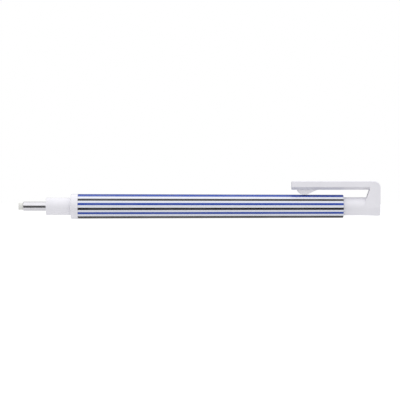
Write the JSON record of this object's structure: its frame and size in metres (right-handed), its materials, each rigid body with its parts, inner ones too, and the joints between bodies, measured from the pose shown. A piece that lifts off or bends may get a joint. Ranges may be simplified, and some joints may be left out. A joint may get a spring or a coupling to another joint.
{
  "type": "push-button eraser stick",
  "caption": "Slim push-button eraser stick: printed tapered barrel, stepped white nose, steel guide sleeve, thin round eraser core, and a push cap with a side clip.",
  "frame": {"origin": "on the barrel's axis, at the mouth of the metal guide sleeve", "axes": "+X along the barrel from the eraser tip to the push cap, +Z towards the clip"},
  "size_m": [0.1197, 0.0082, 0.0125],
  "materials": {
    "printed_barrel": "glossy white tube, printed with blue, white and charcoal lines along it",
    "white_plastic": "satin",
    "polished_steel": "polished",
    "eraser": "matt",
    "brake_rubber": "matt",
    "acetal": "natural",
    "clear_tube": "milky",
    "brass": "turned",
    "spring_steel": "drawn wire"
  },
  "bodies": {
    "pen": {"barrel": "printed_barrel", "nose_cone": "white_plastic", "guide_sleeve": "polished_steel", "core_brake": "brake_rubber", "chuck_sleeve": "acetal", "return_spring": "spring_steel"},
    "mechanism": {"chuck_shank": "acetal", "chuck_connector": "acetal", "refill_tube": "clear_tube"},
    "ring": {"chuck_ring": "brass"},
    "jaw_1": {"chuck_jaw_1": "acetal"},
    "jaw_2": {"chuck_jaw_2": "acetal"},
    "jaw_3": {"chuck_jaw_3": "acetal"},
    "cap": {"push_cap": "white_plastic"},
    "clip": {"clip_arm": "white_plastic"},
    "core": {"eraser_core": "eraser"}
  },
  "joints": [
    {"name": "press", "type": "slide", "parent": "pen", "child": "mechanism", "axis": [-1, 0, 0], "range_m": [0, 0.004], "stiffness_N_per_m": 320, "springref_m": -0.005, "deforming": ["return_spring"]},
    {"name": "ring_slide", "type": "slide", "parent": "pen", "child": "ring", "axis": [-1, 0, 0], "range_m": [0, 0.001]},
    {"name": "jaw_1_open", "type": "hinge", "parent": "mechanism", "child": "jaw_1", "pos_m": [0.02999, 0, 0.00139], "axis": [0, 1, 0], "range_deg": [0, 0.825]},
    {"name": "jaw_2_open", "type": "hinge", "parent": "mechanism", "child": "jaw_2", "pos_m": [0.02999, -0.0012, -0.00069], "axis": [0, -0.5, 0.866], "range_deg": [0, 0.825]},
    {"name": "jaw_3_open", "type": "hinge", "parent": "mechanism", "child": "jaw_3", "pos_m": [0.02999, 0.0012, -0.00069], "axis": [0, -0.5, -0.866], "range_deg": [0, 0.825]},
    {"name": "cap_pull", "type": "slide", "parent": "mechanism", "child": "cap", "axis": [1, 0, 0], "range_m": [0, 0.0129]},
    {"name": "clip_flex", "type": "hinge", "parent": "cap", "child": "clip", "pos_m": [0.11433, 0, 0.00807], "axis": [0, 1, 0], "range_deg": [0, 6], "stiffness_Nm_per_rad": 0.7, "springref_deg": -0.57},
    {"name": "eraser_feed", "type": "slide", "parent": "pen", "child": "core", "axis": [-1, 0, 0], "range_m": [-0.00156, 0.065]}
  ],
  "couplings": [
    {"joint": "ring_slide", "follows": "press", "ratio": 0.25},
    {"joint": "jaw_1_open", "follows": "press", "rad_per_m": 3.5961},
    {"joint": "jaw_2_open", "follows": "press", "rad_per_m": 3.5961},
    {"joint": "jaw_3_open", "follows": "press", "rad_per_m": 3.5961}
  ]
}
